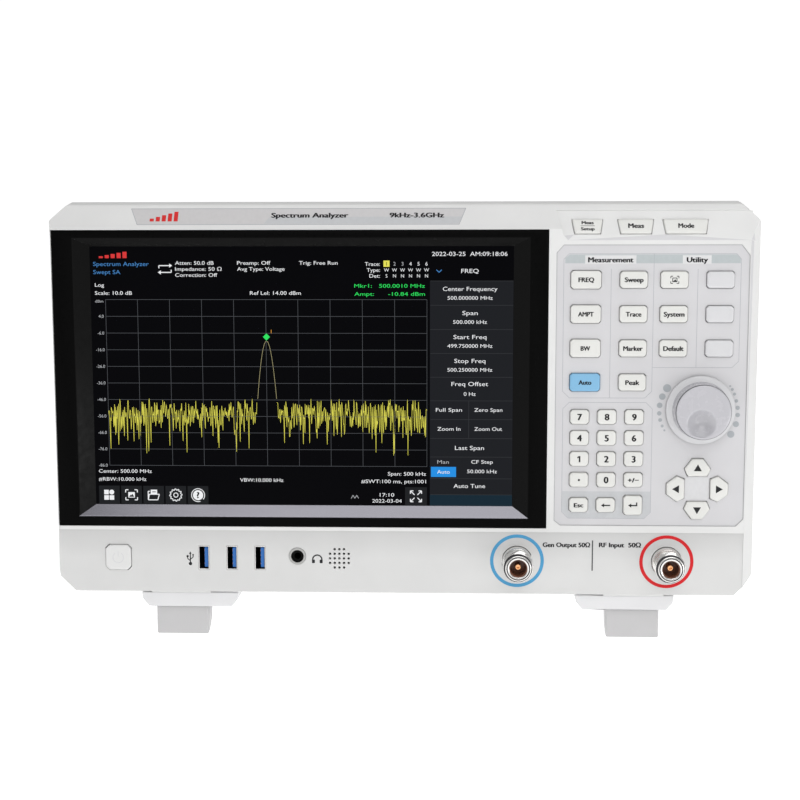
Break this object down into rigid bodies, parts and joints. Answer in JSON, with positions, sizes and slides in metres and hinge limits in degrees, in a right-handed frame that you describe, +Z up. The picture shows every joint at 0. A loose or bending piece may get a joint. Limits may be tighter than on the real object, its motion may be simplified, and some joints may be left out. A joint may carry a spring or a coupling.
{
  "type": "bench spectrum analyzer",
  "caption": "Bench spectrum analyzer with a wide touch screen, key panel, tuning knob, coaxial sockets, fold-down handle and flip-out front legs.",
  "frame": {"origin": "on the surface that the instrument stands on, under the middle of its overall box, with the front legs open", "axes": "+X to the right along the width as seen from the front, +Z up, the screen faces -Y and leans back"},
  "size_m": [0.378, 0.1646, 0.2316],
  "materials": {
    "housing": "light warm-white moulded plastic, fine matte grain",
    "surround": "glossy black",
    "glass": "clear glossy touch glass",
    "display": "display module",
    "keycap": "satin cream-white key caps",
    "keycap_blue": "satin light blue key cap",
    "keycap_grey": "satin light grey key caps",
    "rubber_mat": "matte silicone",
    "circuit_board": "solder mask green",
    "nickel": "bright nickel plate",
    "sheet_metal": "plain sheet",
    "shield": "tinned shield",
    "supply": "power supply parts",
    "fan_plastic": "black",
    "knob": "satin cool grey",
    "power_key": "translucent grey-white",
    "screw": "zinc plated",
    "foot": "light grey moulded plastic",
    "handle": "light grey moulded plastic",
    "socket_black": "black socket bodies and nickel shells"
  },
  "bodies": {
    "casing": {"front_frame": "housing", "screen_surround": "surround", "touch_glass": "glass", "lcd_panel": "display", "keypad_mat": "rubber_mat", "key_board": "circuit_board", "encoder": "nickel", "rear_cover": "housing", "chassis": "sheet_metal", "main_board": "circuit_board", "shield_cans": "shield", "power_supply": "supply", "fan_frame": "fan_plastic", "rf_connectors": "nickel", "front_sockets": "socket_black", "rear_sockets": "nickel", "case_screws": "screw", "feet": "foot"},
    "carry_handle": {"carry_handle": "handle"},
    "leg_left": {"leg_left": "foot"},
    "leg_right": {"leg_right": "foot"},
    "tuning_knob": {"tuning_knob": "knob"},
    "fan_rotor": {"fan_rotor": "fan_plastic"},
    "power_button": {"power_button": "power_key"},
    "key_meas_setup": {"key_meas_setup": "keycap"},
    "key_meas": {"key_meas": "keycap"},
    "key_mode": {"key_mode": "keycap"},
    "key_freq": {"key_freq": "keycap"},
    "key_ampt": {"key_ampt": "keycap"},
    "key_bw": {"key_bw": "keycap"},
    "key_auto": {"key_auto": "keycap_blue"},
    "key_sweep": {"key_sweep": "keycap"},
    "key_trace": {"key_trace": "keycap"},
    "key_marker": {"key_marker": "keycap"},
    "key_peak": {"key_peak": "keycap"},
    "key_screenshot": {"key_screenshot": "keycap"},
    "key_system": {"key_system": "keycap"},
    "key_default": {"key_default": "keycap"},
    "key_blank_1": {"key_blank_1": "keycap_grey"},
    "key_blank_2": {"key_blank_2": "keycap_grey"},
    "key_blank_3": {"key_blank_3": "keycap_grey"},
    "key_7": {"key_7": "keycap"},
    "key_8": {"key_8": "keycap"},
    "key_9": {"key_9": "keycap"},
    "key_4": {"key_4": "keycap"},
    "key_5": {"key_5": "keycap"},
    "key_6": {"key_6": "keycap"},
    "key_1": {"key_1": "keycap"},
    "key_2": {"key_2": "keycap"},
    "key_3": {"key_3": "keycap"},
    "key_point": {"key_point": "keycap"},
    "key_0": {"key_0": "keycap"},
    "key_sign": {"key_sign": "keycap"},
    "key_esc": {"key_esc": "keycap"},
    "key_backspace": {"key_backspace": "keycap"},
    "key_enter": {"key_enter": "keycap"},
    "key_up": {"key_up": "keycap"},
    "key_left": {"key_left": "keycap"},
    "key_right": {"key_right": "keycap"},
    "key_down": {"key_down": "keycap"}
  },
  "joints": [
    {"name": "handle_hinge", "type": "hinge", "parent": "casing", "child": "carry_handle", "pos_m": [0, 0.02005, 0.21779], "axis": [1, 0, 0], "range_deg": [0, 100]},
    {"name": "leg_left_hinge", "type": "hinge", "parent": "casing", "child": "leg_left", "pos_m": [-0.1209, -0.05864, 0.01895], "axis": [1, 0, 0], "range_deg": [0, 90]},
    {"name": "leg_right_hinge", "type": "hinge", "parent": "casing", "child": "leg_right", "pos_m": [0.1251, -0.05864, 0.01895], "axis": [1, 0, 0], "range_deg": [0, 90]},
    {"name": "knob_turn", "type": "hinge", "parent": "casing", "child": "tuning_knob", "pos_m": [0.1584, -0.0509, 0.12501], "axis": [0, 0.9883, -0.1523], "continuous": true},
    {"name": "fan_spin", "type": "hinge", "parent": "casing", "child": "fan_rotor", "pos_m": [0.112, 0.06134, 0.14819], "axis": [0, 0.9883, -0.1523], "continuous": true},
    {"name": "power_press", "type": "slide", "parent": "casing", "child": "power_button", "axis": [0, 0.9883, -0.1523], "range_m": [0, 0.0015], "stiffness_N_per_m": 900},
    {"name": "key_meas_setup_press", "type": "slide", "parent": "casing", "child": "key_meas_setup", "axis": [0, 0.8314, -0.5557], "range_m": [0, 0.0008], "stiffness_N_per_m": 1600},
    {"name": "key_meas_press", "type": "slide", "parent": "casing", "child": "key_meas", "axis": [0, 0.8314, -0.5557], "range_m": [0, 0.0008], "stiffness_N_per_m": 1600},
    {"name": "key_mode_press", "type": "slide", "parent": "casing", "child": "key_mode", "axis": [0, 0.8314, -0.5557], "range_m": [0, 0.0008], "stiffness_N_per_m": 1600},
    {"name": "key_freq_press", "type": "slide", "parent": "casing", "child": "key_freq", "axis": [0, 0.9883, -0.1523], "range_m": [0, 0.001], "stiffness_N_per_m": 1600},
    {"name": "key_ampt_press", "type": "slide", "parent": "casing", "child": "key_ampt", "axis": [0, 0.9883, -0.1523], "range_m": [0, 0.001], "stiffness_N_per_m": 1600},
    {"name": "key_bw_press", "type": "slide", "parent": "casing", "child": "key_bw", "axis": [0, 0.9883, -0.1523], "range_m": [0, 0.001], "stiffness_N_per_m": 1600},
    {"name": "key_auto_press", "type": "slide", "parent": "casing", "child": "key_auto", "axis": [0, 0.9883, -0.1523], "range_m": [0, 0.001], "stiffness_N_per_m": 1600},
    {"name": "key_sweep_press", "type": "slide", "parent": "casing", "child": "key_sweep", "axis": [0, 0.9883, -0.1523], "range_m": [0, 0.001], "stiffness_N_per_m": 1600},
    {"name": "key_trace_press", "type": "slide", "parent": "casing", "child": "key_trace", "axis": [0, 0.9883, -0.1523], "range_m": [0, 0.001], "stiffness_N_per_m": 1600},
    {"name": "key_marker_press", "type": "slide", "parent": "casing", "child": "key_marker", "axis": [0, 0.9883, -0.1523], "range_m": [0, 0.001], "stiffness_N_per_m": 1600},
    {"name": "key_peak_press", "type": "slide", "parent": "casing", "child": "key_peak", "axis": [0, 0.9883, -0.1523], "range_m": [0, 0.001], "stiffness_N_per_m": 1600},
    {"name": "key_screenshot_press", "type": "slide", "parent": "casing", "child": "key_screenshot", "axis": [0, 0.9883, -0.1523], "range_m": [0, 0.001], "stiffness_N_per_m": 1600},
    {"name": "key_system_press", "type": "slide", "parent": "casing", "child": "key_system", "axis": [0, 0.9883, -0.1523], "range_m": [0, 0.001], "stiffness_N_per_m": 1600},
    {"name": "key_default_press", "type": "slide", "parent": "casing", "child": "key_default", "axis": [0, 0.9883, -0.1523], "range_m": [0, 0.001], "stiffness_N_per_m": 1600},
    {"name": "key_blank_1_press", "type": "slide", "parent": "casing", "child": "key_blank_1", "axis": [0, 0.9883, -0.1523], "range_m": [0, 0.001], "stiffness_N_per_m": 1600},
    {"name": "key_blank_2_press", "type": "slide", "parent": "casing", "child": "key_blank_2", "axis": [0, 0.9883, -0.1523], "range_m": [0, 0.001], "stiffness_N_per_m": 1600},
    {"name": "key_blank_3_press", "type": "slide", "parent": "casing", "child": "key_blank_3", "axis": [0, 0.9883, -0.1523], "range_m": [0, 0.001], "stiffness_N_per_m": 1600},
    {"name": "key_7_press", "type": "slide", "parent": "casing", "child": "key_7", "axis": [0, 0.9883, -0.1523], "range_m": [0, 0.001], "stiffness_N_per_m": 1600},
    {"name": "key_8_press", "type": "slide", "parent": "casing", "child": "key_8", "axis": [0, 0.9883, -0.1523], "range_m": [0, 0.001], "stiffness_N_per_m": 1600},
    {"name": "key_9_press", "type": "slide", "parent": "casing", "child": "key_9", "axis": [0, 0.9883, -0.1523], "range_m": [0, 0.001], "stiffness_N_per_m": 1600},
    {"name": "key_4_press", "type": "slide", "parent": "casing", "child": "key_4", "axis": [0, 0.9883, -0.1523], "range_m": [0, 0.001], "stiffness_N_per_m": 1600},
    {"name": "key_5_press", "type": "slide", "parent": "casing", "child": "key_5", "axis": [0, 0.9883, -0.1523], "range_m": [0, 0.001], "stiffness_N_per_m": 1600},
    {"name": "key_6_press", "type": "slide", "parent": "casing", "child": "key_6", "axis": [0, 0.9883, -0.1523], "range_m": [0, 0.001], "stiffness_N_per_m": 1600},
    {"name": "key_1_press", "type": "slide", "parent": "casing", "child": "key_1", "axis": [0, 0.9883, -0.1523], "range_m": [0, 0.001], "stiffness_N_per_m": 1600},
    {"name": "key_2_press", "type": "slide", "parent": "casing", "child": "key_2", "axis": [0, 0.9883, -0.1523], "range_m": [0, 0.001], "stiffness_N_per_m": 1600},
    {"name": "key_3_press", "type": "slide", "parent": "casing", "child": "key_3", "axis": [0, 0.9883, -0.1523], "range_m": [0, 0.001], "stiffness_N_per_m": 1600},
    {"name": "key_point_press", "type": "slide", "parent": "casing", "child": "key_point", "axis": [0, 0.9883, -0.1523], "range_m": [0, 0.001], "stiffness_N_per_m": 1600},
    {"name": "key_0_press", "type": "slide", "parent": "casing", "child": "key_0", "axis": [0, 0.9883, -0.1523], "range_m": [0, 0.001], "stiffness_N_per_m": 1600},
    {"name": "key_sign_press", "type": "slide", "parent": "casing", "child": "key_sign", "axis": [0, 0.9883, -0.1523], "range_m": [0, 0.001], "stiffness_N_per_m": 1600},
    {"name": "key_esc_press", "type": "slide", "parent": "casing", "child": "key_esc", "axis": [0, 0.9883, -0.1523], "range_m": [0, 0.001], "stiffness_N_per_m": 1600},
    {"name": "key_backspace_press", "type": "slide", "parent": "casing", "child": "key_backspace", "axis": [0, 0.9883, -0.1523], "range_m": [0, 0.001], "stiffness_N_per_m": 1600},
    {"name": "key_enter_press", "type": "slide", "parent": "casing", "child": "key_enter", "axis": [0, 0.9883, -0.1523], "range_m": [0, 0.001], "stiffness_N_per_m": 1600},
    {"name": "key_up_press", "type": "slide", "parent": "casing", "child": "key_up", "axis": [0, 0.9883, -0.1523], "range_m": [0, 0.001], "stiffness_N_per_m": 1600},
    {"name": "key_left_press", "type": "slide", "parent": "casing", "child": "key_left", "axis": [0, 0.9883, -0.1523], "range_m": [0, 0.001], "stiffness_N_per_m": 1600},
    {"name": "key_right_press", "type": "slide", "parent": "casing", "child": "key_right", "axis": [0, 0.9883, -0.1523], "range_m": [0, 0.001], "stiffness_N_per_m": 1600},
    {"name": "key_down_press", "type": "slide", "parent": "casing", "child": "key_down", "axis": [0, 0.9883, -0.1523], "range_m": [0, 0.001], "stiffness_N_per_m": 1600}
  ]
}
